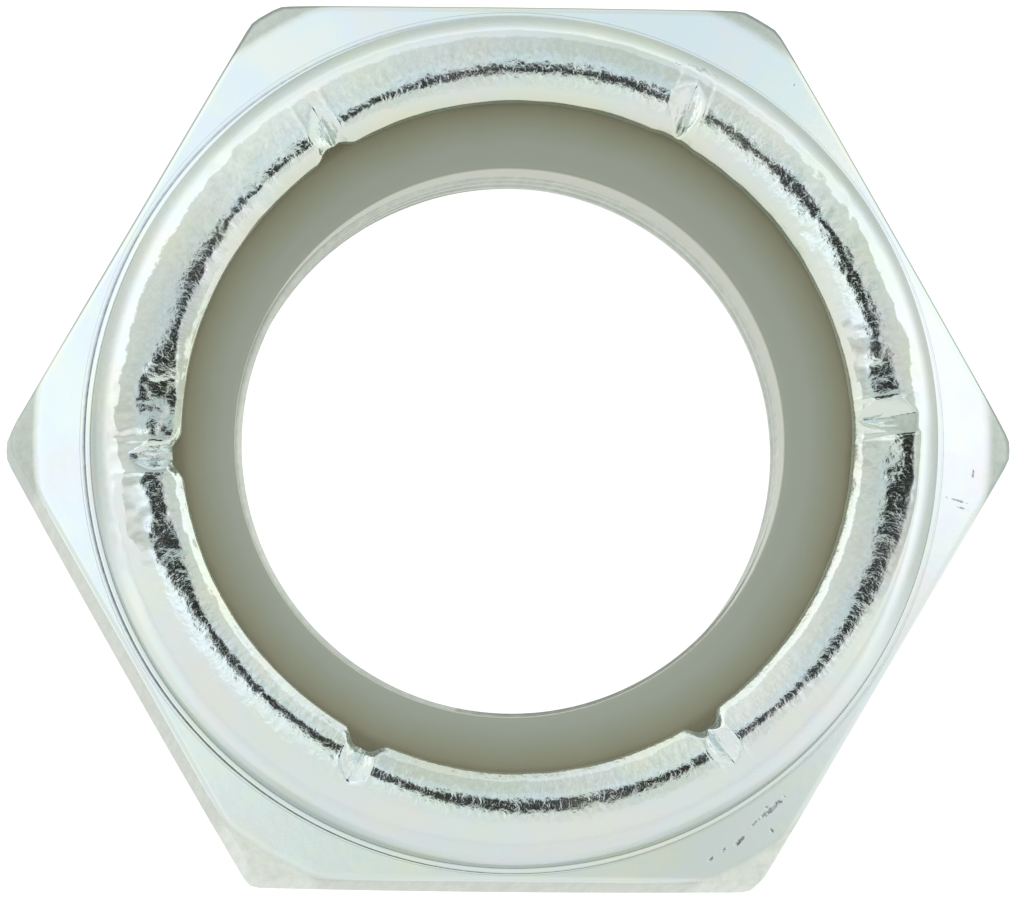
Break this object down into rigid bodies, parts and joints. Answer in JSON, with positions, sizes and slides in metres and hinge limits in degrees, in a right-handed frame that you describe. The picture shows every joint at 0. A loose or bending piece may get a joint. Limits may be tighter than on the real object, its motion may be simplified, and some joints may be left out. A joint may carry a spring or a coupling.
{
  "type": "nylon insert lock nut",
  "caption": "Thin hexagon lock nut with a round collar rolled and staked over a captive nylon ring that grips the bolt's thread.",
  "frame": {"origin": "centre of the bearing face", "axes": "+Z along the thread axis towards the nylon ring, +X through a corner of the hexagon"},
  "size_m": [0.027, 0.0238, 0.0103],
  "materials": {
    "zinc_plated_steel": "bright zinc plate, clear passivated",
    "natural_nylon": "moulded, satin, slightly translucent"
  },
  "bodies": {
    "root": {"nut_body": "zinc_plated_steel", "nylon_insert": "natural_nylon"}
  },
  "joints": []
}
